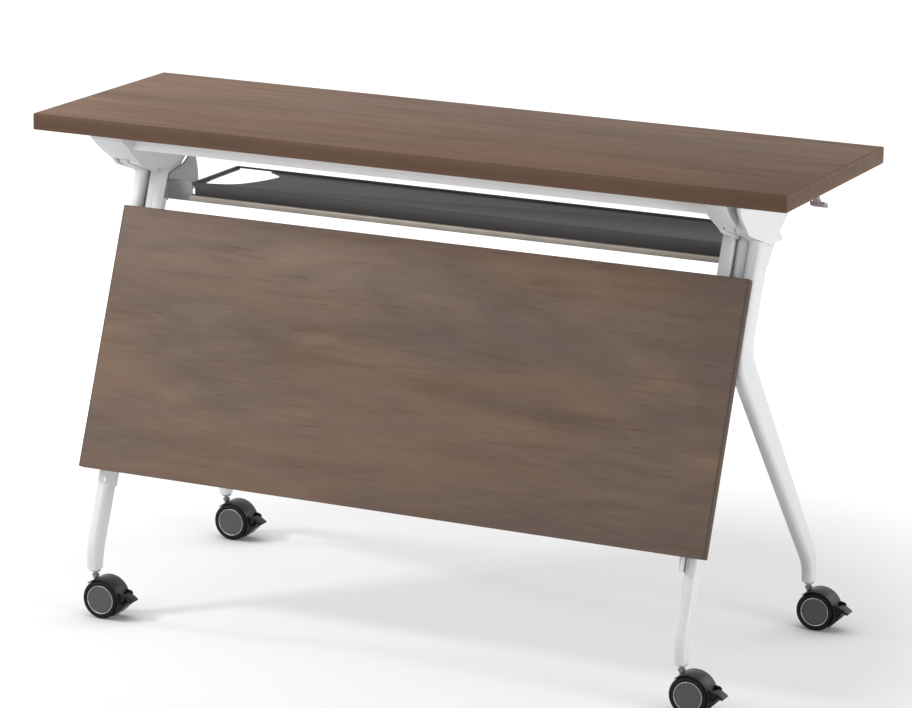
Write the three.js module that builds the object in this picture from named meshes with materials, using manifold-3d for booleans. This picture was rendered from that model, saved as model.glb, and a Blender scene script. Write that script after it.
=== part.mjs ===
// Flip top training table: a wood board that tilts up on two lambda-shaped legs, with a modesty
// panel, a book tray and four braked twin-wheel casters. Millimetres, +Z up. The origin is on the
// floor under the middle of the board, +X runs along the board and -Y faces the modesty panel.
import * as THREE from "three";
import { mergeVertices } from "three/addons/utils/BufferGeometryUtils.js";
import Module from "manifold-3d";

const wasm = await Module();
wasm.setup();

// Driving dimensions: board and stance
const tableLength = 1200;
const tableDepth = 400;
const tableHeight = 757;
const boardThickness = 25;
const boardCornerRadius = 3.5;
const boardEdgeRadius = 2;
const footSpread = 457; // between front and rear caster stems, along Y
const legInset = 121.5; // front caster stems inside the board's ends

// Driving dimensions: legs
const barThickness = 20;
const barGap = 1.5;
const barEdgeRadius = 7;
const bladeEdgeRadius = 2;
const legSetback = 173.2; // front leg's centre line behind the board's front edge, at the neck
const frontAnkleRise = 27; // height of the bend above the leg's end
const rearAnkleRise = 35;
const footAhead = 13; // leg's end ahead of the caster's stem
const footBehind = 8.5;
const footDrawIn = 2; // each side of a leg bar draws in by this much at its foot
const footTaper = 70; // height over which it draws in
const frontTopAhead = 22; // front leg ahead of its centre line, at the neck
const frontTopBehind = 18;
const frontAnkleAhead = 18;
const frontAnkleBehind = 12;
const kneeDrop = 241; // knee below the board's underside
const postFrontReach = 31; // front of the rear leg's post, ahead of the front leg's centre line
const postRearReach = 14;
const kneeUpper = 16; // rear leg above its centre line, at the knee
const kneeLower = 29;
const rearAnkleUpper = 11;
const rearAnkleLower = 17;

// Driving dimensions: flip hinge and head
const hingeSetback = 102; // hinge axis behind the board's front edge
const hingeDrop = 44; // hinge axis below the board's underside
const hingePinDiameter = 10;
const hingeBossRadius = 16;
const headFrontReach = 70; // head's front wing tip ahead of the hinge axis
const headRearReach = 254; // head's rear wing tip behind the hinge axis
const headWall = 5;
const headWeb = 6;
const wingTipHeight = 9;
const headFlare = 11; // how much wider the head is under the board, on each side
const headFlareHeight = 70; // height of the flared part
const pinCover = 1.5; // head's wall over each end of the hinge pin
const releaseSlotWidth = 8; // slot in the right head's nose
const noseGap = 5; // between the nose and the blade, which swing past each other
const noseTaper = 9; // how far the nose's inner side draws in at its tip
const taperStart = 6; // behind the hinge axis
const neckRearReach = 110; // rear end of the neck behind the hinge axis
const neckDrop = 48; // neck's lower edge below the hinge axis, at its rear
const bumperDiameter = 20;
const bumperHeight = 7;

// Driving dimensions: cross beam and release
const beamDepth = 40;
const beamHeight = 27;
const beamWall = 2;
const beamSetback = 60; // beam's front face behind the board's front edge
const rodDiameter = 8;
const rodSetback = 230; // release rod behind the board's front edge
const rodDrop = 12.5; // release rod below the board's underside
const leverWidth = 22;
const leverArmWidth = 9;
const leverArmThickness = 5;
const leverOutset = 31; // lever's inner side beyond the head
const paddleReach = 32; // paddle's middle behind the rod
const paddleDrop = 28; // paddle's middle below the rod
const paddleLength = 18;
const paddleThickness = 7;
const pawlThickness = 8;
const pawlGap = 2; // between the pawl's nose and the blade's rear edge
const pawlRise = 14; // pawl's nose above the neck's lower edge
const bladeInset = 6; // blade's rear edge ahead of the neck's rear end

// Driving dimensions: modesty panel and its brackets
const panelInset = 93; // panel's ends inside the board's ends
const panelHeight = 402;
const panelThickness = 15;
const panelDrop = 125; // panel's upper edge below the board's underside
const panelOffset = 47; // panel's face ahead of the front leg's centre line
const bracketWall = 3;
const lowerBracketLength = 80;
const lowerBracketWidth = 17;
const lowerBracketOverhang = 20;
const lowerFlangeInset = 6; // lower bracket's flange above the panel's lower edge
const upperBracketGrip = 88; // on the panel's back, below its upper edge
const upperBracketWidth = 17;
const upperBracketClear = 2.5; // below the head's flared part

// Driving dimensions: book tray
const trayEndGap = 46; // between the tray's left end and the leg
const trayDepth = 145;
const trayHeight = 20;
const trayCorner = 5;
const trayWall = 2.4;
const trayLip = 3; // rim above the tray's floor
const trayFloor = 3;
const trayLead = 5; // tray's front behind the front leg's centre line
const trayDrop = 112.5; // tray's underside, on its rails, below the board's underside
const railHeight = 9.5;
const railDepth = 14;
const railLead = 2; // front rail ahead of the tray
const railOverhang = 4; // front rail beyond the tray's left end
const hemSize = 6; // bar under the tray's rear rim
const trayArmRise = 21;
const trayArmLead = 4;
const trayArmReach = 96; // arm's length behind the tray's front
const trayArmDrop = 58; // arm's highest point below the board's underside
const cableSlotLength = 88;
const cableSlotInset = 3;
const cableSlotLead = 13; // slot behind the tray's front rim

// Driving dimensions: caster
const wheelDiameter = 60;
const wheelWidth = 11.5;
const hubRecess = 1.2;
const hubRadius = 22.5;
const axleDiameter = 6;
const casterTrail = 16.5;
const hoodThickness = 1.5;
const hoodGap = 0.6;
const hoodWeb = 11;
const stemDiameter = 7;
const stemCollarDiameter = 12;
const stemCollarHeight = 4;
const stemGripLength = 24; // stem inside the leg
const stemExposed = 16; // between hood and leg
const stemFootRise = 7; // bottom of the stem's bore above the wheel's axis
const pedalWidth = 20;
const pedalReach = 52; // pedal's tip behind the wheel's axis
const pedalPinDiameter = 5;
const insertDiameter = 12;
const insertFlangeDiameter = 15;
const insertFlange = 4;

// Clearances
const runningGap = 0.3;
const seatGap = 0.3;
const sideGap = 0.5;
const bladeGap = 0.7; // between the leg's blade and the head's walls

// Facets
const roundSegments = 24;
const cornerSegments = 4;
const bevelSteps = 2;
const barEdgeSteps = 4;

// Derived places
const underside = tableHeight - boardThickness;
const boardFront = -tableDepth / 2;
const wheelRadius = wheelDiameter / 2;
const hoodRadius = wheelRadius + hoodGap + hoodThickness;
const hoodTopAt = (x) => wheelRadius + Math.sqrt(hoodRadius ** 2 - (casterTrail - x) ** 2);
const hoodAtStem = hoodTopAt(0);
const footHeight = hoodAtStem + stemExposed;
const frontFootY = -footSpread / 2;
const rearFootY = footSpread / 2;
const frontBarX = tableLength / 2 - legInset;
const rearBarX = frontBarX + barThickness + barGap;
const headInner = frontBarX - barThickness / 2;
const headOuter = rearBarX + barThickness / 2;
const hinge = { y: boardFront + hingeSetback, z: underside - hingeDrop };
const frontAnkle = { y: frontFootY, z: footHeight + frontAnkleRise };
const rearAnkle = { y: rearFootY, z: footHeight + rearAnkleRise };
const rod = { y: boardFront + rodSetback, z: underside - rodDrop };
const neckRear = { y: hinge.y + neckRearReach, z: hinge.z - neckDrop };
const legRun = boardFront + legSetback - frontAnkle.y;
const tilt = Math.atan2(legRun, neckRear.z - frontAnkle.z); // front leg and panel, from the vertical
const kneeHeight = underside - kneeDrop;

// Finishes
const finish = (color, roughness, metalness = 0) =>
  new THREE.MeshStandardMaterial({ color, roughness, metalness });
const walnut = finish(0x7a6354, 0.55);
const whitePaint = finish(0xe6e8ea, 0.4);
const greyPaint = finish(0x9a9b9c, 0.5);
const darkPlastic = finish(0x47444a, 0.6);
const satinRail = finish(0xa29b92, 0.4, 0.6);
const blackPlastic = finish(0x1c1c1d, 0.4);
const wheelGrey = finish(0x2b2b2c, 0.6);
const steel = finish(0x8a8780, 0.35, 1);
const rubber = finish(0x222222, 0.85);
const leverGrey = finish(0x8a7a7c, 0.5);

// Solids and booleans
function solid(geometry) {
  const plain = geometry.index ? geometry.toNonIndexed() : geometry.clone();
  plain.deleteAttribute("normal");
  plain.deleteAttribute("uv");
  const merged = mergeVertices(plain, 1e-4);
  return new wasm.Manifold(
    new wasm.Mesh({
      numProp: 3,
      vertProperties: merged.attributes.position.array,
      triVerts: new Uint32Array(merged.index.array),
    }),
  );
}

function geometryOf(body) {
  const made = body.getMesh();
  return new THREE.BufferGeometry()
    .setAttribute("position", new THREE.BufferAttribute(made.vertProperties.slice(), 3))
    .setIndex(new THREE.BufferAttribute(made.triVerts.slice(), 1));
}

function box(x, y, z) {
  const size = [x[1] - x[0], y[1] - y[0], z[1] - z[0]];
  const centre = [(x[0] + x[1]) / 2, (y[0] + y[1]) / 2, (z[0] + z[1]) / 2];
  return solid(new THREE.BoxGeometry(...size).translate(...centre));
}

// A round bar along one axis, turned so that a facet faces down.
function round(axis, diameter, from, to, at, segments = roundSegments) {
  const bar = new THREE.CylinderGeometry(diameter / 2, diameter / 2, to - from, segments);
  bar.rotateY(Math.PI / segments).translate(0, (from + to) / 2, 0);
  if (axis === "x") bar.rotateZ(-Math.PI / 2).translate(0, at.y, at.z);
  if (axis === "y") bar.translate(at.x, 0, at.z);
  if (axis === "z") bar.rotateX(Math.PI / 2).translate(at.x, at.y, 0);
  return solid(bar);
}

// A closed outline from corners [a, b, rounding]; rounding is the distance cut off each side, at
// most a good part of half that side.
function outline(corners) {
  const shape = new THREE.Shape();
  const points = corners.map(([a, b]) => new THREE.Vector2(a, b));
  corners.forEach(([, , wanted = 0], i) => {
    const corner = points[i];
    const before = points[(i + points.length - 1) % points.length];
    const after = points[(i + 1) % points.length];
    const shorter = Math.min(corner.distanceTo(before), corner.distanceTo(after));
    const rounding = Math.min(wanted, 0.48 * shorter);
    const into = before.clone().sub(corner).setLength(rounding).add(corner);
    const out = after.clone().sub(corner).setLength(rounding).add(corner);
    if (i === 0) shape.moveTo(into.x, into.y);
    else shape.lineTo(into.x, into.y);
    if (rounding > 0) shape.quadraticCurveTo(corner.x, corner.y, out.x, out.y);
  });
  shape.closePath();
  return shape;
}

function extrude(shape, depth, bevel, steps = bevelSteps) {
  return new THREE.ExtrudeGeometry(shape, {
    depth: depth - 2 * bevel,
    bevelEnabled: bevel > 0,
    bevelThickness: bevel,
    bevelSize: bevel,
    bevelOffset: -bevel,
    bevelSegments: steps,
    curveSegments: cornerSegments,
  }).translate(0, 0, bevel);
}

const axisX = new THREE.Vector3(1, 0, 0);
const axisY = new THREE.Vector3(0, 1, 0);
const axisZ = new THREE.Vector3(0, 0, 1);

// A plate with its outline in (y, z), between two places along X.
function plateAcrossX(corners, from, to, bevel = 0, steps = bevelSteps) {
  const upright = new THREE.Matrix4().makeBasis(axisY, axisZ, axisX);
  const shape = extrude(outline(corners), to - from, bevel, steps).applyMatrix4(upright);
  return solid(shape.translate(from, 0, 0));
}

// A plate with its outline in (x, z), between two places along Y.
function plateAcrossY(corners, from, to, bevel = 0) {
  const upright = new THREE.Matrix4().makeBasis(axisX, axisZ, axisY.clone().negate());
  const shape = extrude(outline(corners), to - from, bevel).applyMatrix4(upright);
  return solid(shape.translate(0, to, 0));
}

// A plate with its outline in (x, y), between two heights.
function plateAcrossZ(corners, from, to, bevel = 0) {
  return solid(extrude(outline(corners), to - from, bevel).translate(0, 0, from));
}

function rectangle(a, b, rounding = 0) {
  return [
    [a[0], b[0], rounding],
    [a[1], b[0], rounding],
    [a[1], b[1], rounding],
    [a[0], b[1], rounding],
  ];
}

const table = new THREE.Group();

function add(name, body, material, place = table) {
  const mesh = new THREE.Mesh(geometryOf(body), material);
  mesh.name = name;
  place.add(mesh);
  return mesh;
}

// Pieces that exist on the left and on the right are made for +X and mirrored.
function addPair(name, body, material) {
  add(`${name}_right`, body, material);
  add(`${name}_left`, body.mirror([1, 0, 0]), material);
}

// A point beside the front leg's centre line: along it from the ankle, and ahead of it.
function beside(along, ahead) {
  return [
    frontAnkle.y + along * Math.sin(tilt) - ahead * Math.cos(tilt),
    frontAnkle.z + along * Math.cos(tilt) + ahead * Math.sin(tilt),
  ];
}

// Distance along the front leg's centre line at which a point ahead of it has a given height.
function alongAt(height, ahead) {
  return (height - frontAnkle.z - ahead * Math.sin(tilt)) / Math.cos(tilt);
}

// Board
const board = plateAcrossZ(
  rectangle(
    [-tableLength / 2, tableLength / 2],
    [-tableDepth / 2, tableDepth / 2],
    boardCornerRadius,
  ),
  underside,
  tableHeight,
  boardEdgeRadius,
);
add("desktop", board, walnut);

// Head: an inverted channel under the board with a wing to the front and a longer one to the rear
const headFront = hinge.y - headFrontReach;
const headRear = hinge.y + headRearReach;
const wingUnder = underside - wingTipHeight;
const noseFront = hinge.y - hingeBossRadius;

function headCorners(grow) {
  return [
    [headFront - grow, underside],
    [headFront - grow, wingUnder - grow, 5],
    [headFront + 0.3 * headFrontReach - grow, wingUnder - 0.45 * hingeDrop - grow, 14],
    [noseFront - grow, hinge.z - 0.45 * hingeBossRadius - grow, 7],
    [noseFront + 7 - grow, hinge.z - hingeBossRadius + 1 - grow, 4],
    [neckRear.y - 22, neckRear.z - grow, 14],
    [neckRear.y + 2, neckRear.z + 1.5 - grow, 2],
    [neckRear.y + 18 + grow, neckRear.z + 1 - grow, 2],
    [neckRear.y + 19 + grow, neckRear.z + 8, 2],
    [neckRear.y + 6 + grow, neckRear.z + 14, 4],
    [headRear - 76, wingUnder - 24 - grow, 40],
    [headRear + grow, wingUnder + 3 - grow, 5],
    [headRear + grow, underside],
  ];
}

const pinBore = round(
  "x",
  hingePinDiameter + 2 * runningGap,
  headInner + pinCover,
  headOuter - pinCover,
  hinge,
);
const headMiddle = (headInner + headOuter) / 2;
const headHalf = (headOuter - headInner) / 2;
const flareFrom = underside - headFlareHeight;

// Front view of the head, straight at the neck and wider towards the board
function headFrontView(half, top) {
  const steps = 5;
  const edge = Array.from({ length: steps + 1 }, (_, i) => [
    half + headFlare * (i / steps) ** 1.5,
    flareFrom + ((underside - flareFrom) * i) / steps,
  ]).filter(([, z]) => z < top);
  edge.push([half + headFlare * ((top - flareFrom) / headFlareHeight) ** 1.5, top]);
  edge.unshift([half, 0]);
  const other = edge.map(([x, z]) => [headMiddle - x, z]).reverse();
  return [...edge.map(([x, z]) => [headMiddle + x, z]), ...other];
}

const headSpan = [headFront - headRearReach, headRear + headRearReach];
const bell = plateAcrossY(headFrontView(headHalf, underside), ...headSpan);
const channelView = headFrontView(headHalf - headWall, underside - headWeb);
const noseRear = hinge.y - hingeBossRadius - noseGap;
const channel = plateAcrossY(channelView, noseRear, headSpan[1]);
const releaseSlot = plateAcrossY(channelView, headSpan[0], noseRear + 1).intersect(
  box(
    [headOuter - headWall - releaseSlotWidth, headOuter + headFlare],
    headSpan,
    [0, underside],
  ),
);
const rodBore = round(
  "x",
  rodDiameter + 2 * runningGap,
  headInner - barThickness,
  headOuter + barThickness,
  rod,
);
// Plan of what the nose's inner side leaves out as it draws in towards the tip
const taperSpan = [hinge.y + taperStart, headFront];
const taperEdge = Array.from({ length: 9 }, (_, i) => [
  headInner - headFlare + noseTaper * (i / 8) ** 2,
  taperSpan[0] + ((taperSpan[1] - taperSpan[0]) * i) / 8,
]);
const taperInner = headInner - 3 * headFlare;
const taper = plateAcrossZ(
  [
    [taperInner, taperSpan[0]],
    ...taperEdge,
    [headInner - headFlare + noseTaper, headSpan[0]],
    [taperInner, headSpan[0]],
  ].reverse(),
  hinge.z - 3 * hingeBossRadius,
  tableHeight,
);
const headForm = plateAcrossX(headCorners(0), headInner - headFlare, headOuter + headFlare)
  .intersect(bell)
  .subtract(taper);
const head = headForm.subtract(channel).subtract(pinBore).subtract(rodBore);
add("head_bracket_right", head.subtract(releaseSlot), whitePaint);
add("head_bracket_left", head.mirror([1, 0, 0]), whitePaint);

// Space that the head sweeps beside the leg's blade, kept clear by each leg bar
const headClear = plateAcrossX(
  headCorners(sideGap),
  headInner - barThickness,
  headInner + headWall + bladeGap,
).add(
  plateAcrossX(
    headCorners(sideGap),
    headOuter - headWall - bladeGap,
    headOuter + barThickness,
  ),
);

// Blade: the thin upper end of both leg bars, inside the head's channel
const bladeTop = underside - headWeb - seatGap - bumperHeight;
const bladeCorners = [
  [neckRear.y - bladeInset, neckRear.z + 6, 6],
  [neckRear.y - bladeInset - 2, bladeTop - 10, 10],
  [neckRear.y - 36, bladeTop, 12],
  [hinge.y + 24, bladeTop, 12],
  [hinge.y - 4, hinge.z + hingeBossRadius - 2, 8],
  [hinge.y - hingeBossRadius + 4, hinge.z + hingeBossRadius - 6, 9],
  [hinge.y - hingeBossRadius + 4, hinge.z - hingeBossRadius + 5, 9],
];

// Front leg: the inner bar, straight and tapered from the head to the front caster
const legSpare = 14; // length beyond the leg's end, cut off level
const frontTop = alongAt(neckRear.z + 16, frontTopAhead);
const frontCorners = [
  [frontFootY - footAhead, footHeight - legSpare],
  [frontFootY + footBehind, footHeight - legSpare],
  [...beside(0, -frontAnkleBehind), 16],
  beside(frontTop + 10, -frontTopBehind),
  beside(frontTop + 10, frontTopAhead),
  [...beside(0, frontAnkleAhead), 16],
];
const frontBlade = [
  beside(frontTop - 40, -frontTopBehind),
  ...bladeCorners,
  beside(frontTop, frontTopAhead),
];

// Rear leg: the outer bar, a post beside the front leg that bends back at the knee
const kneeAlong = alongAt(kneeHeight, (postFrontReach - postRearReach) / 2);
const knee = beside(kneeAlong, (postFrontReach - postRearReach) / 2);
const rearRun = Math.hypot(rearAnkle.y - knee[0], rearAnkle.z - knee[1]);
const rearAside = [
  (knee[1] - rearAnkle.z) / rearRun,
  (rearAnkle.y - knee[0]) / rearRun,
];
const asideOf = (place, reach) => [
  place[0] + reach * rearAside[0],
  place[1] + reach * rearAside[1],
];
const ankle = [rearAnkle.y, rearAnkle.z];
const postTop = alongAt(neckRear.z + 14, postFrontReach);
const rearCorners = [
  [rearFootY - footAhead, footHeight - legSpare],
  [rearFootY + footBehind, footHeight - legSpare],
  [...asideOf(ankle, rearAnkleUpper), 20],
  [...asideOf(beside(kneeAlong, -2), kneeUpper), 22],
  beside(postTop + 10, -postRearReach),
  beside(postTop + 10, postFrontReach),
  [...beside(kneeAlong + 20, postFrontReach), 22],
  [...asideOf(knee, -kneeLower), 26],
  [...asideOf(ankle, -rearAnkleLower), 20],
];
const rearBlade = [
  beside(postTop - 26, -postRearReach),
  ...bladeCorners,
  beside(postTop, postFrontReach),
];

// Front view of the room that a leg bar fills, narrower towards its foot
function barRoom(x) {
  const half = barThickness / 2;
  const taperTop = footHeight + footTaper;
  const right = [
    [x + half - footDrawIn, footHeight - 2 * legSpare],
    [x + half - footDrawIn, footHeight],
    [x + half, taperTop],
    [x + barThickness, taperTop],
    [x + barThickness, tableHeight],
  ];
  const left = right.map(([across, z]) => [2 * x - across, z]).reverse();
  return plateAcrossY([...right, ...left], -footSpread, footSpread);
}

// A leg bar with its foot socket, hinge bore and the room that the head needs
function legBar(corners, blade, x, footY) {
  const sides = [x - barThickness / 2, x + barThickness / 2];
  const spare = box(
    [sides[0] - 1, sides[1] + 1],
    [footY - 3 * footAhead, footY + 3 * footBehind],
    [footHeight - 2 * legSpare, footHeight],
  );
  const socket = round(
    "z",
    insertDiameter + 2 * runningGap,
    footHeight - barThickness,
    footHeight + stemGripLength + seatGap,
    { x, y: footY },
  );
  return plateAcrossX(corners, ...sides, barEdgeRadius, barEdgeSteps)
    .add(plateAcrossX(blade, ...sides, bladeEdgeRadius))
    .intersect(barRoom(x))
    .subtract(spare)
    .subtract(headClear)
    .subtract(pinBore)
    .subtract(socket);
}

// Bolts that hold the two bars together
const boltDiameter = 8;
const boltHeadDiameter = 14;
const boltHeadHeight = 4;
const boltAhead = -1;
const boltAlong = { upper: frontTop - 70, lower: kneeAlong + 16 };
const boltAt = (level) => {
  const [y, z] = beside(boltAlong[level], boltAhead);
  return { y, z };
};
function boltHole(level) {
  return round(
    "x",
    boltDiameter + 2 * runningGap,
    headInner - barThickness,
    headOuter - headWall,
    boltAt(level),
    12,
  );
}
const boltHoles = boltHole("upper").add(boltHole("lower"));
const frontLeg = legBar(frontCorners, frontBlade, frontBarX, frontFootY).subtract(boltHoles);
const rearLeg = legBar(rearCorners, rearBlade, rearBarX, rearFootY).subtract(boltHoles);
addPair("front_leg", frontLeg, whitePaint);
addPair("rear_leg", rearLeg, whitePaint);
for (const level of ["upper", "lower"]) {
  const at = boltAt(level);
  const shank = round("x", boltDiameter, headInner - 1, headOuter - headWall - 1, at, 12);
  const top = headInner - seatGap;
  const cap = round("x", boltHeadDiameter, top - boltHeadHeight, top, at, 12);
  addPair(`leg_bolt_${level}`, shank.add(cap), steel);
}

// Hinge pin in the head's walls and through the leg's blade
const hingePin = round(
  "x",
  hingePinDiameter,
  headInner + pinCover + seatGap,
  headOuter - pinCover - seatGap,
  hinge,
);
addPair("hinge_pin", hingePin, whitePaint);

// Rest bumper on the blade, under the head's web
const bumperY = (hinge.y + 24 + neckRear.y - 36) / 2;
const bumperX = rearBarX - barThickness / 2 - barGap / 2;
const bumper = round("z", bumperDiameter, bladeTop, bladeTop + bumperHeight, {
  x: bumperX,
  y: bumperY,
});
addPair("rest_bumper", bumper, rubber);

// Cross beam: a square tube under the board, between the two heads
const beamEnd = headInner + headWall;
const beamFront = boardFront + beamSetback;
const beamY = [beamFront, beamFront + beamDepth];
const beamZ = [underside - beamHeight, underside];
const beamBore = box(
  [-tableLength, tableLength],
  [beamY[0] + beamWall, beamY[1] - beamWall],
  [beamZ[0] + beamWall, beamZ[1] - beamWall],
);
const headReach = headForm.add(headForm.translate([-seatGap, 0, 0]));
const beam = box([-beamEnd, beamEnd], beamY, beamZ)
  .subtract(beamBore)
  .subtract(headReach)
  .subtract(headReach.mirror([1, 0, 0]));
add("cross_beam", beam, whitePaint);

// Release: a rod across both heads, with a pawl in each channel and a lever at the right
const leverFrom = headOuter + leverOutset;
const leverHub = rodDiameter + 6;
const releaseRod = round(
  "x",
  rodDiameter,
  -headOuter - seatGap,
  leverFrom + (leverWidth + leverArmWidth) / 2,
  rod,
);
add("release_rod", releaseRod, steel);

const leverBore = round("x", rodDiameter + 2 * runningGap, leverFrom, leverFrom + 2 * leverWidth, rod);
const leverMiddle = leverFrom + leverWidth / 2;
const armX = [leverMiddle - leverArmWidth / 2, leverMiddle + leverArmWidth / 2];
const paddleAt = { y: rod.y + paddleReach, z: rod.z - paddleDrop };
const lever = plateAcrossX(
  [
    [rod.y, rod.z - leverHub / 2],
    [paddleAt.y, paddleAt.z - leverArmThickness / 2],
    [paddleAt.y, paddleAt.z + leverArmThickness / 2],
    [rod.y, rod.z + leverHub / 2],
  ],
  ...armX,
)
  .add(round("x", leverHub, ...armX, rod))
  .add(
    plateAcrossX(
      [
        [paddleAt.y - paddleLength / 2, paddleAt.z + 3 - paddleThickness / 2, 3],
        [paddleAt.y + paddleLength / 2, paddleAt.z - 3 - paddleThickness / 2, 3],
        [paddleAt.y + paddleLength / 2, paddleAt.z - 3 + paddleThickness / 2, 3],
        [paddleAt.y - paddleLength / 2, paddleAt.z + 3 + paddleThickness / 2, 3],
      ],
      leverFrom,
      leverFrom + leverWidth,
      1,
    ),
  )
  .subtract(leverBore);
add("release_lever", lever, leverGrey);

const pawlX = [bumperX - pawlThickness / 2, bumperX + pawlThickness / 2];
const pawlHub = rodDiameter + 4;
const pawlBore = round("x", rodDiameter + 2 * runningGap, pawlX[0] - 1, pawlX[1] + 1, rod);
const bladeRear = neckRear.y - bladeInset;
const pawlNose = neckRear.z + pawlRise;
const pawl = plateAcrossX(
  [
    [rod.y - pawlHub / 2, rod.z, 2],
    [rod.y + pawlHub / 2, rod.z, 2],
    [bladeRear + pawlGap + 13, pawlNose + 12, 6],
    [bladeRear + pawlGap + 8, pawlNose, 3],
    [bladeRear + pawlGap, pawlNose + 1, 1.5],
    [bladeRear + pawlGap, pawlNose + 12, 2],
  ],
  ...pawlX,
)
  .add(round("x", pawlHub, ...pawlX, rod))
  .subtract(pawlBore);
addPair("latch_pawl", pawl, steel);

// Modesty panel, parallel to the front legs
const panelHalf = tableLength / 2 - panelInset;
const panelEnd = alongAt(underside - panelDrop, panelOffset);
const panelStart = panelEnd - panelHeight;
const panel = new THREE.Group();
panel.position.set(0, ...beside(panelStart + panelHeight / 2, panelOffset - panelThickness / 2));
panel.rotation.x = -tilt;
table.add(panel);
const panelBody = plateAcrossY(
  rectangle(
    [-panelHalf, panelHalf],
    [-panelHeight / 2, panelHeight / 2],
    3,
  ),
  -panelThickness / 2,
  panelThickness / 2,
  1,
);
add("modesty_panel", panelBody, walnut, panel);

// Angle brackets between the front legs and the panel's back
const panelBack = panelOffset - panelThickness - seatGap;
function angleBracket(start, end, width, behind, flangeStart = start) {
  const legSide = headInner - seatGap;
  const plate = (from, front, rear) => [
    [...beside(from, front), 5],
    beside(from, rear),
    beside(end, rear),
    beside(end, front),
  ];
  const onLeg = plateAcrossX(plate(start, panelBack, -behind), legSide - bracketWall, legSide);
  const onPanel = plateAcrossX(
    plate(flangeStart, panelBack, panelBack - bracketWall),
    legSide - width,
    legSide,
  );
  return onLeg.add(onPanel);
}
const lowerStart = panelStart - lowerBracketOverhang;
const upperBracketLap = (frontTopAhead - barEdgeRadius) / 2;
const upperEnd = alongAt(flareFrom - upperBracketClear, panelBack);
addPair(
  "panel_bracket_lower",
  angleBracket(
    lowerStart,
    lowerStart + lowerBracketLength,
    lowerBracketWidth,
    frontAnkleBehind / 2,
    panelStart + lowerFlangeInset,
  ),
  greyPaint,
);
addPair(
  "panel_bracket_upper",
  angleBracket(panelEnd - upperBracketGrip, upperEnd, upperBracketWidth, -upperBracketLap),
  whitePaint,
);

// Book tray on a front rail and a rear hem, carried by an arm on each front leg
const armSide = headInner - seatGap;
const armInside = armSide - bracketWall - seatGap;
const trayFloorHeight = underside - trayDrop;
const trayFront = beside(alongAt(trayFloorHeight, 0), 0)[0] + trayLead;
const trayRear = trayFront + trayDepth;
const trayX = [trayEndGap - headInner, armInside];
const trayY = [trayFront, trayRear];
const trayZ = [trayFloorHeight, trayFloorHeight + trayHeight];
const floorTop = trayZ[1] - trayLip;
const floorUnder = floorTop - trayFloor;
const trayInside = [
  [trayX[0] + trayWall, trayX[1] - trayWall],
  [trayY[0] + trayWall, trayY[1] - trayWall],
];
const aboveFloor = plateAcrossZ(
  rectangle(...trayInside, trayCorner - trayWall),
  floorTop,
  trayZ[1] + trayLip,
);
const apron = box(
  [trayX[0] + trayCorner, trayX[1] - trayCorner],
  [trayY[0], trayY[0] + trayWall],
  [trayZ[0], floorTop],
);
const slotX = trayInside[0][0] + cableSlotInset;
const slotY = [trayInside[1][0] + cableSlotLead, trayY[1] + 1];
const slotAt = (across, along) => [
  slotX + across * cableSlotLength,
  slotY[0] + along * (slotY[1] - slotY[0]),
];
const cableSlot = plateAcrossZ(
  [
    [...slotAt(0.06, 0), 10],
    [...slotAt(0.6, 0.1), 24],
    [...slotAt(0.86, 0.44), 24],
    [...slotAt(1, 0.8), 16],
    slotAt(0.6, 1),
    slotAt(0, 1),
    [...slotAt(0, 0.3), 20],
  ],
  floorUnder - 1,
  floorTop,
);
const tray = plateAcrossZ(rectangle(trayX, trayY, trayCorner), floorUnder, trayZ[1])
  .subtract(aboveFloor)
  .subtract(cableSlot)
  .add(apron);
add("book_tray", tray, darkPlastic);

const railX = [trayX[0] - railOverhang, armInside];
const railZ = [trayFloorHeight - railHeight, trayFloorHeight];
const frontRailY = [trayFront - railLead, trayFront - railLead + railDepth];
const railRounding = 2;
const frontRail = plateAcrossX(rectangle(frontRailY, railZ, railRounding), ...railX);
add("tray_rail_front", frontRail, satinRail);
const hem = plateAcrossX(
  rectangle([trayRear - hemSize, trayRear], [floorUnder - hemSize, floorUnder], 1),
  slotX + cableSlotLength,
  armInside,
);
add("tray_rail_rear", hem, satinRail);

const armRear = trayFront + trayArmReach;
const armTop = underside - trayArmDrop;
const trayArm = plateAcrossX(
  [
    [trayFront - trayArmLead, railZ[0], 3],
    [armRear + 4, railZ[0], 3],
    [armRear, trayFloorHeight + trayArmRise, 3],
    [armRear - 10, armTop, 3],
    [armRear - 42, armTop - 19, 8],
    [trayFront + 8, trayFloorHeight + trayArmRise + 6, 8],
    [trayFront - trayArmLead, trayFloorHeight + 12, 3],
  ],
  armSide - bracketWall,
  armSide,
);
const armFlange = box(
  [-armSide, trayX[0] - seatGap],
  [trayFront, trayFront + bracketWall],
  [trayFloorHeight, trayFloorHeight + trayArmRise],
).add(
  box(
    [-armSide, railX[0] - seatGap],
    [trayFront, trayFront + bracketWall],
    [railZ[0], trayFloorHeight],
  ),
);
add("tray_arm_right", trayArm, greyPaint);
add("tray_arm_left", trayArm.mirror([1, 0, 0]).add(armFlange), greyPaint);

// Caster pieces, with the stem's axis as their origin and the wheels trailing towards +X
const wheelAxis = { x: casterTrail, z: wheelRadius };
const wheelInside = hoodWeb / 2 + sideGap;
const wheelOutside = wheelInside + wheelWidth;
const halfCaster = wheelOutside + sideGap;
const flatFacet = Math.cos(Math.PI / roundSegments);

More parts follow.
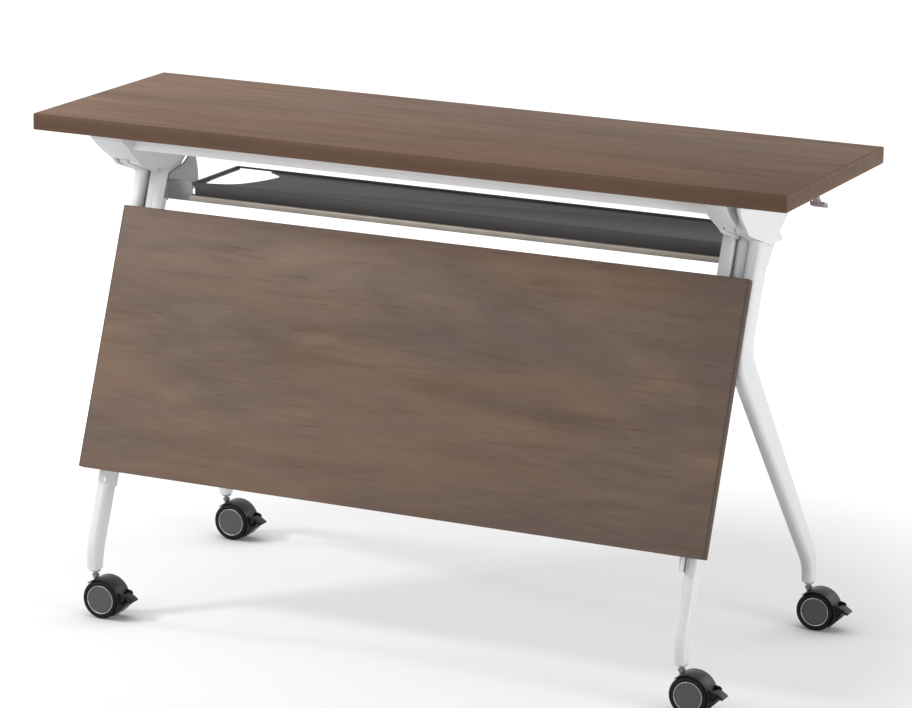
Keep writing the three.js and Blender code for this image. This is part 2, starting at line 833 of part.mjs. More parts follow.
function wheelBody() {
  const rim = wheelRadius / flatFacet;
  const bore = axleDiameter / 2 + runningGap;
  const capInner = wheelOutside - hubRecess;
  const profile = [
    [0, capInner - 1.5],
    [bore, capInner - 1.5],
    [bore, wheelInside],
    [rim - 4, wheelInside],
    [rim, wheelInside + 4],
    [rim, wheelOutside - 4.5],
    [rim - 1.4, wheelOutside - 1.4],
    [rim - 4, wheelOutside],
    [hubRadius + 1, wheelOutside],
    [hubRadius, capInner],
    [0, capInner],
  ];
  const points = profile.map(([r, along]) => new THREE.Vector2(r, along));
  const turned = new THREE.LatheGeometry(points, roundSegments);
  return solid(turned.rotateY(Math.PI / roundSegments));
}

const sector = (radius, from, to, steps) =>
  Array.from({ length: steps + 1 }, (_, i) => {
    const angle = THREE.MathUtils.degToRad(from + ((to - from) * i) / Math.max(steps, 1));
    return [wheelAxis.x + radius * Math.cos(angle), wheelAxis.z + radius * Math.sin(angle)];
  });

const hoodFrom = -44;
const hoodTo = 130;
const hoodSteps = 14;
const fromAxis = (x, z) => [wheelAxis.x + x, wheelAxis.z + z];
const pedalPin = { x: wheelAxis.x + hoodRadius + 3.5, z: wheelAxis.z + 7 };
const pedalEar = 3;
const pedalEarInside = pedalWidth / 2 + sideGap;

function hoodBody() {
  const inside = hoodRadius - hoodThickness;
  const shell = plateAcrossY(
    [
      ...sector(hoodRadius, 2, hoodTo, hoodSteps),
      fromAxis(-13, -4),
      fromAxis(-7, -9),
      fromAxis(7, -9),
      ...sector(hoodRadius, hoodFrom, hoodFrom, 0),
      fromAxis(hoodRadius + 8, -6),
      fromAxis(hoodRadius + 6, -2),
    ],
    -halfCaster,
    halfCaster,
  );
  const well = (from, to) => round("y", 2 * inside, from, to, wheelAxis, 2 * roundSegments);
  const ear = (side) =>
    plateAcrossY(
      [
        fromAxis(inside + 1, -2),
        fromAxis(hoodRadius + 3, -1),
        [pedalPin.x + 5, pedalPin.z - 2, 4],
        [pedalPin.x + 5, pedalPin.z + 5, 4],
        [pedalPin.x - 4, pedalPin.z + 7, 3],
        fromAxis(inside - 1, 14),
      ],
      ...(side > 0
        ? [pedalEarInside, pedalEarInside + pedalEar]
        : [-pedalEarInside - pedalEar, -pedalEarInside]),
    );
  const stemBore = round(
    "z",
    stemDiameter + 2 * runningGap,
    wheelRadius + stemFootRise,
    hoodAtStem + hoodRadius,
    { x: 0, y: 0 },
  );
  const axleBore = round("y", axleDiameter + 2 * runningGap, -halfCaster, halfCaster, wheelAxis);
  const pinHole = round(
    "y",
    pedalPinDiameter + 2 * runningGap,
    -halfCaster,
    halfCaster,
    pedalPin,
    12,
  );
  return shell.add(ear(1)).add(ear(-1))
    .subtract(well(hoodWeb / 2, 2 * halfCaster))
    .subtract(well(-2 * halfCaster, -hoodWeb / 2))
    .subtract(stemBore)
    .subtract(axleBore)
    .subtract(pinHole);
}

function pedalBody() {
  const lift = 0.5;
  const tread = plateAcrossY(
    [
      [pedalPin.x - 2, pedalPin.z - 2, 1],
      [pedalPin.x + 4, pedalPin.z - 3.5, 1],
      fromAxis(pedalReach - 2, lift - 1),
      fromAxis(pedalReach, lift + 1),
      fromAxis(pedalReach - 4, lift + 4),
      [pedalPin.x + 2, pedalPin.z + 4, 2],
      [pedalPin.x - 2, pedalPin.z + 3, 1],
    ],
    -pedalWidth / 2,
    pedalWidth / 2,
  );
  const stub = pedalEarInside + pedalEar;
  return tread.add(round("y", pedalPinDiameter, -stub, stub, pedalPin, 12));
}

const stemFoot = wheelRadius + stemFootRise + seatGap;
const stemTop = footHeight + stemGripLength;
const collarFrom = hoodTopAt(stemCollarDiameter / 2) + sideGap;

function stemBody() {
  return round("z", stemDiameter, stemFoot, stemTop, { x: 0, y: 0 }, 16).add(
    round("z", stemCollarDiameter, collarFrom, collarFrom + stemCollarHeight, { x: 0, y: 0 }, 6),
  );
}

function insertBody() {
  const at = { x: 0, y: 0 };
  return round("z", insertDiameter, footHeight - insertFlange, stemTop, at, 16)
    .add(round("z", insertFlangeDiameter, footHeight - insertFlange, footHeight - seatGap, at, 16))
    .subtract(round("z", stemDiameter + 2 * runningGap, stemFoot, stemTop + 1, at, 16));
}

const axleEnd = wheelOutside - hubRecess - 2;
const axle = round("y", axleDiameter, -axleEnd, axleEnd, wheelAxis);

for (const [side, sideX] of [["left", -1], ["right", 1]]) {
  for (const [end, x, y] of [
    ["front", frontBarX, frontFootY],
    ["rear", rearBarX, rearFootY],
  ]) {
    const caster = new THREE.Group();
    caster.position.set(sideX * x, y, 0);
    table.add(caster);
    const label = `${end}_${side}`;
    add(`foot_insert_${label}`, insertBody(), steel, caster);
    add(`caster_stem_${label}`, stemBody(), steel, caster);
    add(`caster_hood_${label}`, hoodBody(), blackPlastic, caster);
    add(`caster_axle_${label}`, axle, steel, caster);
    add(`brake_pedal_${label}`, pedalBody(), blackPlastic, caster);
    for (const [face, turn] of [["a", 0], ["b", Math.PI]]) {
      const wheel = add(`wheel_${face}_${label}`, wheelBody(), wheelGrey, caster);
      wheel.position.set(wheelAxis.x, 0, wheelAxis.z);
      wheel.rotation.z = turn;
    }
  }
}

export default table;
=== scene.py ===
"""Looks of the flip top training table: finishes, fine wheels, fasteners, floor, light and camera."""

import math

import bmesh
import bpy
from mathutils import Matrix, Vector

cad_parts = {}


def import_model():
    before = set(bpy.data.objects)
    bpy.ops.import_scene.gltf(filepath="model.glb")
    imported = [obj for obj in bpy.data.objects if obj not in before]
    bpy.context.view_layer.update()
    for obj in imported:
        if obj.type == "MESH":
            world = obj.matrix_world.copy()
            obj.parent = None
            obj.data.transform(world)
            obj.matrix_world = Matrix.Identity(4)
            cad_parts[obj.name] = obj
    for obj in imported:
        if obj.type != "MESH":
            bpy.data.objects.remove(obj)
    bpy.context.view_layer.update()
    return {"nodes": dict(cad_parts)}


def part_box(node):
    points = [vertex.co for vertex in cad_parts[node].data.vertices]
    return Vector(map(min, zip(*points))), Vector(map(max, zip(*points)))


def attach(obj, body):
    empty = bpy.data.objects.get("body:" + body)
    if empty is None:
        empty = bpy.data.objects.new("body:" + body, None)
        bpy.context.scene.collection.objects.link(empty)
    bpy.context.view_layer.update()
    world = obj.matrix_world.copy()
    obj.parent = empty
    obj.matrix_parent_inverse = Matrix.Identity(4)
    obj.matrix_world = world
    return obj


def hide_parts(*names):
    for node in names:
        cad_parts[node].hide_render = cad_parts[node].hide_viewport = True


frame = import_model()
nodes = frame["nodes"]

CORNERS = ("front_left", "front_right", "rear_left", "rear_right")


# Node helpers

def srgb(red, green, blue):
    """A colour written as it looks on screen, 0 to 255, turned into the linear values nodes use."""
    def linear(value):
        value /= 255
        return value / 12.92 if value <= 0.04045 else ((value + 0.055) / 1.055) ** 2.4
    return (linear(red), linear(green), linear(blue), 1.0)


class Finish:
    """A material under construction, with one Principled shader."""

    def __init__(self, name, **sockets):
        self.material = bpy.data.materials.new(name)
        self.material.use_nodes = True
        self.tree = self.material.node_tree
        self.tree.nodes.clear()
        self.output = self.tree.nodes.new("ShaderNodeOutputMaterial")
        self.shader = self.tree.nodes.new("ShaderNodeBsdfPrincipled")
        self.tree.links.new(self.shader.outputs["BSDF"], self.output.inputs["Surface"])
        self.set(**sockets)

    def set(self, **sockets):
        for name, value in sockets.items():
            self.plug(self.shader.inputs[name.replace("_", " ")], value)

    def plug(self, socket, value):
        if isinstance(value, bpy.types.NodeSocket):
            self.tree.links.new(value, socket)
        else:
            socket.default_value = value

    def node(self, kind, inputs=(), **settings):
        made = self.tree.nodes.new("ShaderNode" + kind)
        for name, value in settings.items():
            setattr(made, name, value)
        for key, value in dict(inputs).items():
            self.plug(made.inputs[key], value)
        return made

    def place(self, scale=(1, 1, 1), shift=(0, 0, 0)):
        """The piece's own coordinates in metres, stretched and shifted."""
        coordinates = self.node("TexCoord").outputs["Object"]
        mapping = self.node("Mapping", {"Vector": coordinates, "Scale": scale, "Location": shift})
        return mapping.outputs["Vector"]

    def noise(self, scale, detail, roughness=0.55, distortion=0.0, shift=(0, 0, 0)):
        """Noise with as many waves to the metre as the scale says along each axis."""
        made = self.node("TexNoise", {
            "Vector": self.place(scale, shift), "Scale": 1.0, "Detail": detail,
            "Roughness": roughness, "Distortion": distortion})
        return made.outputs["Fac"]

    def ramp(self, factor, stops):
        made = self.node("ValToRGB", {"Fac": factor})
        band = made.color_ramp
        band.interpolation = "EASE"
        while len(band.elements) < len(stops):
            band.elements.new(0.5)
        for element, (position, colour) in zip(band.elements, stops):
            element.position = position
            element.color = colour
        return made.outputs["Color"]

    def spread(self, factor, low, high, start, end):
        """Turns a factor of start into low and one of end into high, and no further."""
        made = self.node("MapRange", {
            "Value": factor, "From Min": start, "From Max": end, "To Min": low, "To Max": high})
        return made.outputs["Result"]

    def mix(self, factor, first, second):
        made = self.node("Mix", data_type="RGBA")
        self.plug(made.inputs[0], factor)
        self.plug(made.inputs[6], first)
        self.plug(made.inputs[7], second)
        return made.outputs[2]

    def bump(self, height, strength, distance, under=None):
        made = self.node("Bump", {"Height": height, "Strength": strength, "Distance": distance})
        if under is not None:
            self.plug(made.inputs["Normal"], under)
        return made.outputs["Normal"]

    def math(self, operation, first, second=0.0):
        made = self.node("Math", operation=operation)
        self.plug(made.inputs[0], first)
        self.plug(made.inputs[1], second)
        return made.outputs[0]


def grey(value):
    return (value, value, value, 1.0)


# Finishes

# Layers of the walnut print: waves to the metre along and across the grain, detail, roughness,
# distortion, and how far the layer is shifted against the others.
PRINT_LAYERS = {
    "bands": (1.3, 11, 4.0, 0.5, 0.6, 0.0),
    "clouds": (2.6, 8, 3.0, 0.55, 0.8, 3.1),
    "streaks": (6, 85, 4.0, 0.6, 0.4, 0.0),
    "wisps": (8, 30, 4.0, 0.55, 0.9, 3.1),
    "fibres": (22, 520, 3.0, 0.6, 0.2, 0.0),
    "flecks": (18, 330, 1.0, 0.5, 0.0, 7.7),
}
EDGE_JOINT = 0.0024
EDGE_JOINT_TONE = 0.5
# How far the edge faces go towards the band's colour: partly the edge band's own tone, partly painted
# shade.
EDGE_BAND_AND_SHADE_TONE = 0.62


def walnut(name, shift, tones, cloud, half_size):
    """Printed walnut that runs along X: cloudy patches, soft bands, short streaks and pores. The two
    ends carry a darker edge band with a thin joint line, and so do the long sides where half_size
    gives a second measure. The edge faces are darkened by their direction: partly the band's own
    colour, partly painted shade where those faces take less light."""
    dark, mid, light, haze, band = tones
    finish = Finish(name, Specular_IOR_Level=0.15)
    layer = {}
    for kind, (along, across, detail, roughness, distortion, apart) in PRINT_LAYERS.items():
        place = tuple(v + apart for v in shift)
        layer[kind] = finish.noise((along, across, across), detail, roughness, distortion, place)
    tone = finish.ramp(layer["bands"], [(0.3, dark), (0.5, mid), (0.72, light)])
    inks = (
        ("clouds", cloud, 0.43, 0.63, haze), ("wisps", 0.3, 0.5, 0.75, light),
        ("streaks", 0.5, 0.52, 0.74, dark), ("fibres", 0.2, 0.45, 0.75, light),
        ("flecks", 0.4, 0.7, 0.78, band),
    )
    for kind, strength, start, end, ink in inks:
        tone = finish.mix(finish.spread(layer[kind], 0.0, strength, start, end), tone, ink)
    sides = finish.node("SeparateXYZ", {0: finish.node("TexCoord").outputs["Normal"]}).outputs
    spots = finish.node("SeparateXYZ", {0: finish.place()}).outputs
    beyond = [finish.math("GREATER_THAN", finish.math("ABSOLUTE", spot), half - EDGE_JOINT)
              for spot, half in zip(spots, half_size)]
    joint = finish.math("MULTIPLY", finish.math("MAXIMUM", *beyond), EDGE_JOINT_TONE)
    # Edge faces, found by their direction, take the band's colour: the band's own darker tone plus
    # painted shade on faces that take less light.
    if len(half_size) > 1:
        edge = finish.math("SUBTRACT", 1.0, finish.math("ABSOLUTE", sides[2]))
    else:
        edge = finish.math("ABSOLUTE", sides[0])
    edge_band_and_shade = finish.spread(edge, 0.0, EDGE_BAND_AND_SHADE_TONE, 0.55, 0.9)
    tone = finish.mix(finish.math("MAXIMUM", joint, edge_band_and_shade), tone, band)
    relief = finish.bump(layer["fibres"], 0.1, 0.0003)
    finish.set(Base_Color=tone, Roughness=finish.spread(layer["streaks"], 0.54, 0.68, 0.3, 0.7),
               Normal=finish.bump(layer["flecks"], 0.08, 0.0002, relief))
    return finish.material


def powder_coat(name, colour, shade, rough):
    """Sprayed paint: faint orange peel and a slow drift of tone."""
    finish = Finish(name, Specular_IOR_Level=0.5)
    drift = finish.noise((5, 5, 5), 3.0)
    peel = finish.noise((520, 520, 520), 2.0)
    speck = finish.noise((1400, 1400, 1400), 1.0)
    tone = finish.mix(finish.spread(drift, 0.0, 1.0, 0.3, 0.7), shade, colour)
    tone = finish.mix(finish.spread(speck, 0.0, 0.05, 0.55, 0.75), tone, grey(0.3))
    finish.set(Base_Color=tone, Roughness=finish.spread(peel, rough - 0.05, rough + 0.08, 0.3, 0.7),
               Normal=finish.bump(peel, 0.06, 0.0003))
    return finish.material


def moulded(name, colour, shade, rough, grain=900.0, relief=0.12, gloss=0.45):
    """Moulded plastic with a fine spark-eroded grain and slightly polished high spots."""
    finish = Finish(name, Specular_IOR_Level=gloss)
    drift = finish.noise((9, 9, 9), 3.0)
    cells = finish.node("TexVoronoi", {"Vector": finish.place(), "Scale": grain}).outputs["Distance"]
    fine = finish.noise((grain * 1.6,) * 3, 2.0)
    tone = finish.mix(finish.spread(drift, 0.0, 1.0, 0.3, 0.7), shade, colour)
    tone = finish.mix(finish.spread(fine, 0.0, 0.12, 0.5, 0.8), tone, grey(0.08))
    cell_relief = finish.bump(cells, relief, 0.0003)
    finish.set(Base_Color=tone, Roughness=finish.spread(fine, rough - 0.06, rough + 0.1, 0.3, 0.7),
               Normal=finish.bump(fine, relief * 0.6, 0.0002, cell_relief))
    return finish.material


def metal(name, colour, shade, rough, stretch, metallic=1.0):
    """Drawn or plated metal with fine lines along one direction."""
    finish = Finish(name, Metallic=metallic)
    lines = finish.noise(stretch, 3.0, 0.6)
    stain = finish.noise((28, 28, 28), 3.0)
    tone = finish.mix(finish.spread(stain, 0.0, 1.0, 0.3, 0.7), shade, colour)
    tone = finish.mix(finish.spread(lines, 0.0, 0.3, 0.45, 0.75), tone, shade)
    finish.set(Base_Color=tone, Roughness=finish.spread(lines, rough - 0.08, rough + 0.1, 0.3, 0.7),
               Normal=finish.bump(lines, 0.08, 0.0002))
    return finish.material


board_wood = walnut(
    "walnut_board", shift=(0.0, 0.0, 0.0), cloud=0.5, half_size=(0.6, 0.2),
    tones=(srgb(101, 79, 62), srgb(119, 93, 75), srgb(132, 104, 86), srgb(110, 87, 74), srgb(74, 56, 43)))
panel_wood = walnut(
    "walnut_panel", shift=(5.3, 2.1, 8.4), cloud=0.85, half_size=(0.507,),
    tones=(srgb(96, 78, 65), srgb(116, 96, 81), srgb(135, 113, 97), srgb(100, 86, 79), srgb(62, 48, 40)))
white_paint = powder_coat("white_paint", srgb(221, 222, 224), srgb(216, 217, 219), 0.38)
# The beam carries the legs' white made brighter: painted light on its front, which the board's overhang
# keeps in shade.
beam_white_painted_light = powder_coat("beam_white_painted_light", srgb(244, 244, 245), srgb(239, 239, 241), 0.36)
arm_paint = powder_coat("arm_paint", srgb(182, 183, 185), srgb(174, 175, 177), 0.46)
insert_plastic = moulded("insert_grey", srgb(168, 168, 169), srgb(156, 156, 158), 0.45)
tray_plastic = moulded("tray_plastic", srgb(80, 77, 78), srgb(72, 69, 70), 0.5, grain=700, relief=0.18)
rail_metal = metal(
    "satin_rail", srgb(214, 205, 194), srgb(196, 188, 177), 0.42, (3, 900, 900), metallic=0.25)
black_plastic = moulded("black_plastic", srgb(22, 22, 23), srgb(15, 15, 16), 0.36, gloss=0.2)
tread = moulded("wheel_tread", srgb(20, 20, 21), srgb(14, 14, 15), 0.5, grain=500, relief=0.1, gloss=0.15)
cap_plastic = moulded(
    "hub_cap", srgb(86, 89, 88), srgb(72, 75, 74), 0.34, grain=1200, relief=0.05, gloss=0.3)
cap_rim = metal(
    "hub_rim", srgb(182, 184, 184), srgb(160, 162, 162), 0.26, (300, 300, 300), metallic=0.6)
zinc = metal("zinc_steel", srgb(150, 147, 142), srgb(116, 113, 108), 0.34, (600, 600, 60))
rubber = moulded("rubber", srgb(40, 40, 40), srgb(32, 32, 32), 0.75, grain=600, relief=0.2)
lever_plastic = moulded("lever_grey", srgb(150, 132, 134), srgb(138, 121, 123), 0.46)

FINISH_OF = {
    "desktop": board_wood, "modesty_panel": panel_wood, "book_tray": tray_plastic,
    "tray_rail": rail_metal, "release_lever": lever_plastic, "release_rod": zinc,
    "latch_pawl": zinc, "leg_bolt": zinc, "foot_insert": insert_plastic, "caster_stem": zinc,
    "caster_axle": zinc, "caster_hood": black_plastic, "brake_pedal": black_plastic,
    "wheel_": tread, "rest_bumper": rubber, "tray_arm": arm_paint, "panel_bracket": white_paint,
    "head_bracket": white_paint, "front_leg": white_paint, "rear_leg": white_paint,
    "hinge_pin": white_paint, "cross_beam": beam_white_painted_light,
}


# Carried-over solids: eased edges and smooth curves, with the mesh itself untouched

SHARP_FROM = math.radians(32)
EASE_FROM = math.radians(40)
EASE_STEPS = 2
FLAT_WITHIN = math.radians(0.3)
JOIN_WITHIN = 2e-6


def smoothing():
    """Smooth faces, with an edge kept sharp where its faces meet at a steeper angle."""
    tree = bpy.data.node_groups.new("soft_edges", "GeometryNodeTree")
    for way in ("INPUT", "OUTPUT"):
        tree.interface.new_socket("Geometry", in_out=way, socket_type="NodeSocketGeometry")
    start = tree.nodes.new("NodeGroupInput")
    end = tree.nodes.new("NodeGroupOutput")
    normal = tree.nodes.new("GeometryNodeSetMeshNormal")
    normal.mode = "SHARPNESS"
    normal.inputs["Remove Custom"].default_value = True
    normal.inputs["Face Sharpness"].default_value = False
    angle = tree.nodes.new("GeometryNodeInputMeshEdgeAngle")
    sharp = tree.nodes.new("FunctionNodeCompare")
    sharp.operation = "GREATER_THAN"
    sharp.inputs[1].default_value = SHARP_FROM
    tree.links.new(start.outputs[0], normal.inputs["Mesh"])
    tree.links.new(angle.outputs["Unsigned Angle"], sharp.inputs[0])
    tree.links.new(sharp.outputs[0], normal.inputs["Edge Sharpness"])
    tree.links.new(normal.outputs[0], end.inputs[0])
    return tree


soft_edges = smoothing()


def refine(piece, edge):
    """Joins the facets' shared corners, eases the hard edges and smooths the curves."""
    weld = piece.modifiers.new("join", "WELD")
    weld.merge_threshold = JOIN_WITHIN
    if edge:
        flat = piece.modifiers.new("flat", "DECIMATE")
        flat.decimate_type = "DISSOLVE"
        flat.angle_limit = FLAT_WITHIN
        ease = piece.modifiers.new("ease", "BEVEL")
        ease.width = edge
        ease.segments = EASE_STEPS
        ease.limit_method = "ANGLE"
        ease.angle_limit = EASE_FROM
        ease.use_clamp_overlap = True
    piece.modifiers.new("smooth", "NODES").node_group = soft_edges


# Width of the eased edges; pieces that aren't named keep theirs as they are.
EASED = {
    "cross_beam": 0.003, "head_bracket": 0.0012, "book_tray": 0.0005, "tray_rail": 0.0005,
    "release_lever": 0.0006, "panel_bracket": 0.0006, "tray_arm": 0.0006, "caster_hood": 0.0004,
    "brake_pedal": 0.0006,
}
for name, piece in nodes.items():
    key = max((k for k in FINISH_OF if name.startswith(k)), key=len)
    piece.data.materials.clear()
    piece.data.materials.append(FINISH_OF[key])
    eased = [EASED[k] for k in EASED if name.startswith(k)]
    refine(piece, eased[0] if eased else 0.0)


# New pieces

def new_piece(name, mesh, finish, body, at):
    piece = bpy.data.objects.new(name, mesh)
    bpy.context.scene.collection.objects.link(piece)
    piece.matrix_world = at
    piece.data.materials.append(finish)
    piece.modifiers.new("smooth", "NODES").node_group = soft_edges
    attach(piece, body)
    return piece


WHEEL_STEPS = 96


def lathe(name, profile):
    """Turns a profile of (radius, place along Y) round the Y axis; a radius of 0 closes an end."""
    shape = bmesh.new()
    rings = []
    for radius, along in profile:
        if radius == 0:
            rings.append([shape.verts.new((0, along, 0))])
            continue
        ring = []
        for i in range(WHEEL_STEPS):
            turn = 2 * math.pi * i / WHEEL_STEPS
            ring.append(shape.verts.new((radius * math.cos(turn), along, radius * math.sin(turn))))
        rings.append(ring)
    for first, second in zip(rings, rings[1:]):
        for i in range(WHEEL_STEPS):
            j = (i + 1) % WHEEL_STEPS
            corners = [first[i % len(first)], first[j % len(first)],
                       second[j % len(second)], second[i % len(second)]]
            shape.faces.new(list(dict.fromkeys(corners)))
    bmesh.ops.recalc_face_normals(shape, faces=shape.faces)
    mesh = bpy.data.meshes.new(name)
    shape.to_mesh(mesh)
    shape.free()
    for face in mesh.polygons:
        face.use_smooth = True
    return mesh


low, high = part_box("wheel_b_front_left")
wheel_radius = (high.z - low.z) / 2 * 1000
wheel_width = (high.y - low.y) * 1000


def wheel_part(name, profile):
    """Turns (radius, depth from the inner face), in millimetres; the outer face is towards -Y."""
    return lathe(name, [(radius / 1000, -depth / 1000) for radius, depth in profile])


def wheel_meshes():
    """Tyre on its core, the grey cap and the bright ring round it."""
    r, w = wheel_radius, wheel_width
    tyre = [
        (0, 3), (3.5, 3), (3.5, 0.2), (9, 0.2), (10, 1.0), (22, 1.0), (23, 0.2), (r - 5, 0),
        (r - 2.6, 0.5), (r - 1.0, 1.5), (r - 0.25, 2.9), (r, 4.2), (r, w - 4.6), (r - 0.25, w - 3.2),
        (r - 1.0, w - 1.7), (r - 2.4, w - 0.55), (r - 4.2, w - 0.05), (r - 6.4, w), (r - 7.2, w - 0.25),
        (r - 7.6, w - 0.9), (r - 7.8, w - 2.4), (0, w - 2.4),
    ]
    ring = [
        (r - 7.9, w - 2.3), (r - 7.9, w - 0.9), (r - 8.1, w - 0.45), (r - 8.6, w - 0.3),
        (r - 9.1, w - 0.5), (r - 9.4, w - 1.0), (r - 9.4, w - 2.3),
    ]
    cap = [
        (r - 9.5, w - 2.3), (r - 9.5, w - 1.5), (r - 10, w - 1.35), (14, w - 1.2), (8, w - 1.08),
        (5.4, w - 1.05), (5.1, w - 1.35), (4.7, w - 1.35), (4.4, w - 1.05), (0, w - 1.0),
    ]
    return {
        "tyre": wheel_part("wheel_tyre", tyre),
        "ring": wheel_part("wheel_ring", ring),
        "cap": wheel_part("wheel_cap", cap),
    }


wheel_parts = wheel_meshes()
PART_LOOK = {
    "tyre": (tread, "wheel_tread"),
    "ring": (cap_rim, "steel"),
    "cap": (cap_plastic, "grey_paint"),
}
for corner in CORNERS:
    for face, turn in (("a", math.pi), ("b", 0.0)):
        node = f"wheel_{face}_{corner}"
        low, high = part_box(node)
        inner = low.y if face == "a" else high.y
        at = Matrix.Translation(((low.x + high.x) / 2, inner, (low.z + high.z) / 2))
        at = at @ Matrix.Rotation(turn, 4, "Z")
        for part, mesh in wheel_parts.items():
            finish, slot = PART_LOOK[part]
            piece = new_piece(f"{part}_{face}_{corner}", mesh.copy(), finish, node, at)
            if part == "tyre":
                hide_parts(node)


# The skirt and the socket's floor are shares of the head's height; the dome's angles are in radians.
SCREW_STEPS = 24
SKIRT = 0.25
SOCKET_FLOOR = 0.3
DOME = (0.35, 0.7, 0.95)


def socket_screw(name, radius, height, key):
    """A button head with a hexagonal socket, on the XY plane and towards +Z: a straight skirt, the
    dome's rings at their angles, and the socket down to its floor."""
    def hexagon(turn):
        return key / math.cos((turn % (math.pi / 3)) - math.pi / 6)

    rings = [(lambda _: radius, 0.0), (lambda _: radius, SKIRT * height)]
    rings += [(lambda _, a=a: radius * math.cos(a), height * (SKIRT + (1 - SKIRT) * math.sin(a)))
              for a in DOME]
    rings += [(hexagon, height), (hexagon, SOCKET_FLOOR * height)]
    shape = bmesh.new()
    loops = []
    for reach, up in rings:
        loop = []
        for i in range(SCREW_STEPS):
            turn = 2 * math.pi * i / SCREW_STEPS
            place = (reach(turn) * math.cos(turn), reach(turn) * math.sin(turn), up)
            loop.append(shape.verts.new(place))
        loops.append(loop)
    for first, second in zip(loops, loops[1:]):
        for i in range(SCREW_STEPS):
            j = (i + 1) % SCREW_STEPS
            shape.faces.new((first[i], first[j], second[j], second[i]))
    shape.faces.new(loops[-1])
    shape.faces.new(list(reversed(loops[0])))
    bmesh.ops.recalc_face_normals(shape, faces=shape.faces)
    mesh = bpy.data.meshes.new(name)
    shape.to_mesh(mesh)
    shape.free()
    return mesh


# Screws behind the panel's brackets and on the tray's arms. The front leg's line starts at its
# ankle and leans back; places are along it and ahead of it.
ANKLE = Vector((0, -0.2285, 0.1005))
TILT = math.radians(20.5)
PANEL_SCREWS_ALONG = (0.141, 0.169, 0.448, 0.498)
PANEL_SCREW_AHEAD = 0.02865
PANEL_SCREW_ACROSS = 0.458
ARM_SCREW_DEPTH, ARM_SCREW_HEIGHT = -0.022, 0.6265
ARM_THICKNESS = 0.003
along_leg = Vector((0, math.sin(TILT), math.cos(TILT)))
ahead_of_leg = Vector((0, -math.cos(TILT), math.sin(TILT)))
screw = socket_screw("socket_screw", radius=0.0038, height=0.0024, key=0.0017)


def add_screw(name, place, way):
    turn = Vector(way).to_track_quat("Z", "Y").to_matrix().to_4x4()
    new_piece(name, screw.copy(), zinc, "frame", Matrix.Translation(place) @ turn)


for side, sign in (("left", -1), ("right", 1)):
    for number, along in enumerate(PANEL_SCREWS_ALONG, 1):
        place = ANKLE + along_leg * along + ahead_of_leg * PANEL_SCREW_AHEAD
        place.x = sign * PANEL_SCREW_ACROSS
        add_screw(f"panel_screw_{number}_{side}", place, -ahead_of_leg)
    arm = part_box(f"tray_arm_{side}")
    face = sign * (max(abs(v.x) for v in arm) - ARM_THICKNESS)
    add_screw(f"arm_screw_{side}", Vector((face, ARM_SCREW_DEPTH, ARM_SCREW_HEIGHT)), (-sign, 0, 0))


# Floor, light and camera

FLOOR_REACH = 30
FLOOR_TONES = (0.53, 0.55)
BOUNCE_TONE = 0.8
FLOOR_GLOW = 0.47
FADE_START, FADE_END = 0.65, 1.4
# Reach of the painted contact shadow on the floor, and the glow left in its darkest part.
CONTACT_SHADOW_REACH = 0.12
CONTACT_SHADOW_GLOW = 0.1


def floor_material():
    """White floor that keeps the soft shadows near the object and fades into a white surround. Its
    own glow is dimmed where something stands close above it: a painted contact shadow."""
    finish = Finish("floor_white")
    tree = finish.tree
    tree.nodes.remove(finish.shader)
    path = finish.node("LightPath").outputs
    drift = finish.noise((0.6, 0.6, 0.6), 2.0)
    away = finish.node("VectorMath", {0: finish.place()}, operation="LENGTH").outputs["Value"]
    tone = finish.mix(finish.spread(drift, 0.0, 1.0, 0.35, 0.65), *(grey(v) for v in FLOOR_TONES))
    seen = finish.node("AddShader")
    tree.links.new(finish.node("BsdfDiffuse", {"Color": tone}).outputs[0], seen.inputs[0])
    fade = finish.spread(away, FLOOR_GLOW, 1.0, FADE_START, FADE_END)
    # Painted contact shadow: the floor's glow is dimmed where the casters and legs stand close above it.
    painted_contact_shadow = finish.node("AmbientOcclusion", {"Distance": CONTACT_SHADOW_REACH}, samples=12).outputs["AO"]
    fade = finish.math("MULTIPLY", fade, finish.spread(painted_contact_shadow, CONTACT_SHADOW_GLOW, 1.0, 0.35, 0.95))
    glow = finish.node("Emission", {"Color": grey(1.0), "Strength": fade})
    tree.links.new(glow.outputs[0], seen.inputs[1])
    bounce = finish.node("BsdfDiffuse", {"Color": grey(BOUNCE_TONE)})
    direct = finish.math("MAXIMUM", path["Is Camera Ray"], path["Is Glossy Ray"])
    direct = finish.math("MAXIMUM", direct, path["Is Transmission Ray"])
    pick = finish.node("MixShader", {0: direct})
    tree.links.new(bounce.outputs[0], pick.inputs[1])
    tree.links.new(seen.outputs[0], pick.inputs[2])
    tree.links.new(pick.outputs[0], finish.output.inputs["Surface"])
    return finish.material


def floor():
    shape = bmesh.new()
    bmesh.ops.create_grid(shape, x_segments=8, y_segments=8, size=FLOOR_REACH)
    mesh = bpy.data.meshes.new("floor")
    shape.to_mesh(mesh)
    shape.free()
    piece = bpy.data.objects.new("floor", mesh)
    bpy.context.scene.collection.objects.link(piece)
    piece.data.materials.append(floor_material())


def area_light(name, place, aim, size, power):
    """A round lamp that faces a point above the floor's middle."""
    lamp = bpy.data.lights.new(name, "AREA")
    lamp.shape = "DISK"
    lamp.size = size
    lamp.energy = power
    piece = bpy.data.objects.new(name, lamp)
    bpy.context.scene.collection.objects.link(piece)
    piece.location = place
    way = Vector((0, 0, aim)) - Vector(place)
    piece.rotation_euler = way.to_track_quat("-Z", "Y").to_euler()


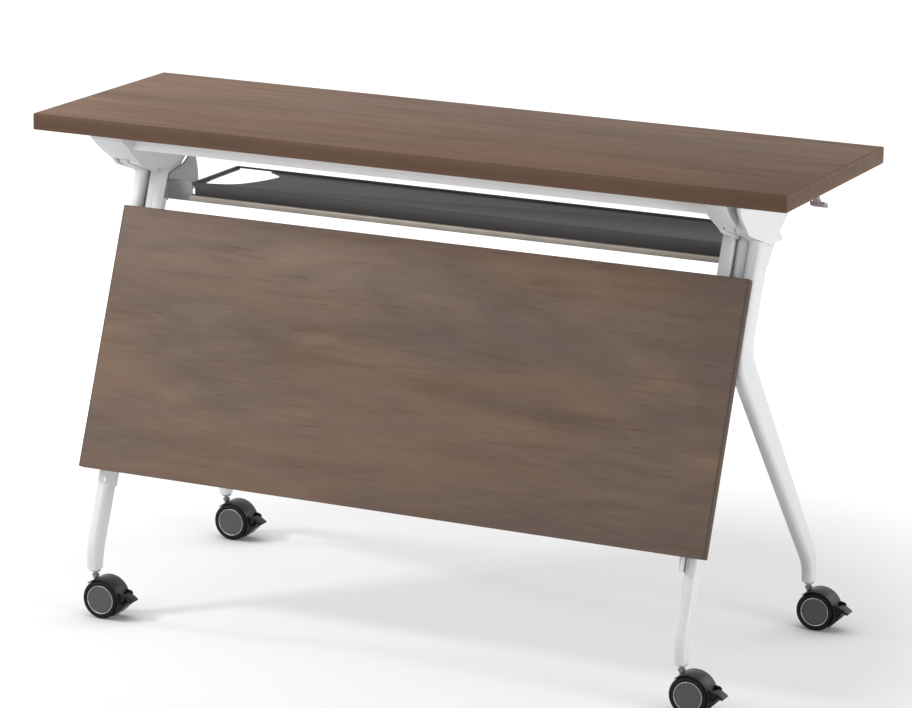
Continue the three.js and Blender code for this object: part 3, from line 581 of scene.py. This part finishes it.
def world(strength):
    """A surround that lights with the given strength and is seen as plain white."""
    surround = bpy.data.worlds.new("studio")
    surround.use_nodes = True
    tree = surround.node_tree
    tree.nodes.clear()

    def background(level):
        made = tree.nodes.new("ShaderNodeBackground")
        made.inputs["Color"].default_value = grey(1.0)
        made.inputs["Strength"].default_value = level
        return made

    out = tree.nodes.new("ShaderNodeOutputWorld")
    light = background(strength)
    seen = background(1.0)
    path = tree.nodes.new("ShaderNodeLightPath")
    pick = tree.nodes.new("ShaderNodeMixShader")
    direct = path.outputs["Is Camera Ray"]
    for way in ("Is Glossy Ray", "Is Transmission Ray"):
        either = tree.nodes.new("ShaderNodeMath")
        either.operation = "MAXIMUM"
        tree.links.new(direct, either.inputs[0])
        tree.links.new(path.outputs[way], either.inputs[1])
        direct = either.outputs[0]
    tree.links.new(direct, pick.inputs[0])
    tree.links.new(light.outputs[0], pick.inputs[1])
    tree.links.new(seen.outputs[0], pick.inputs[2])
    tree.links.new(pick.outputs[0], out.inputs["Surface"])
    bpy.context.scene.world = surround


def camera():
    """The photograph's viewpoint: 25 degrees to the right, 14 degrees up, from about 6 metres."""
    azimuth, elevation, roll = (math.radians(v) for v in (25.032, 14.283, -0.979))
    distance = 6.1065
    target = Vector((0, 0, 0.4))
    # The picture's width, the focal length and the centre's shift are in pixels.
    image_width, focal, shift = 912, 4083.3, (-6.43, 10.29)
    sensor = 36.0
    back = Vector((math.sin(azimuth) * math.cos(elevation),
                   -math.cos(azimuth) * math.cos(elevation), math.sin(elevation)))
    right = (-back).cross(Vector((0, 0, 1))).normalized()
    down = (-back).cross(right)
    across = right * math.cos(roll) + down * math.sin(roll)
    below = down * math.cos(roll) - right * math.sin(roll)
    data = bpy.data.cameras.new("camera")
    data.sensor_fit = "HORIZONTAL"
    data.sensor_width = sensor
    data.lens = focal * sensor / image_width
    data.shift_x = -shift[0] / image_width
    data.shift_y = shift[1] / image_width
    data.clip_end = 100.0
    piece = bpy.data.objects.new("camera", data)
    bpy.context.scene.collection.objects.link(piece)
    turn = Matrix((across, -below, back)).transposed().to_4x4()
    piece.matrix_world = Matrix.Translation(target + back * distance) @ turn
    bpy.context.scene.camera = piece


# Name, place, height that it is aimed at, size across and watts.
LAMPS = (
    ("key_left", (-2.2, -1.5, 2.2), 0.4, 0.5, 46),
    ("side_left", (-2.9, -0.3, 1.3), 0.3, 0.25, 16),
    ("soft_front", (-1.6, -2.9, 1.5), 0.4, 1.8, 30),
    ("soft_right", (3.4, -0.7, 0.75), 0.5, 1.4, 54),
    ("soft_top", (-1.3, 0.3, 2.6), 0.4, 2.0, 9),
    ("soft_back", (1.9, 2.6, 1.5), 0.4, 1.6, 18),
)
SURROUND_LIGHT = 0.24

floor()
world(SURROUND_LIGHT)
for lamp in LAMPS:
    area_light(*lamp)
camera()
bpy.context.scene.view_settings.view_transform = "Standard"
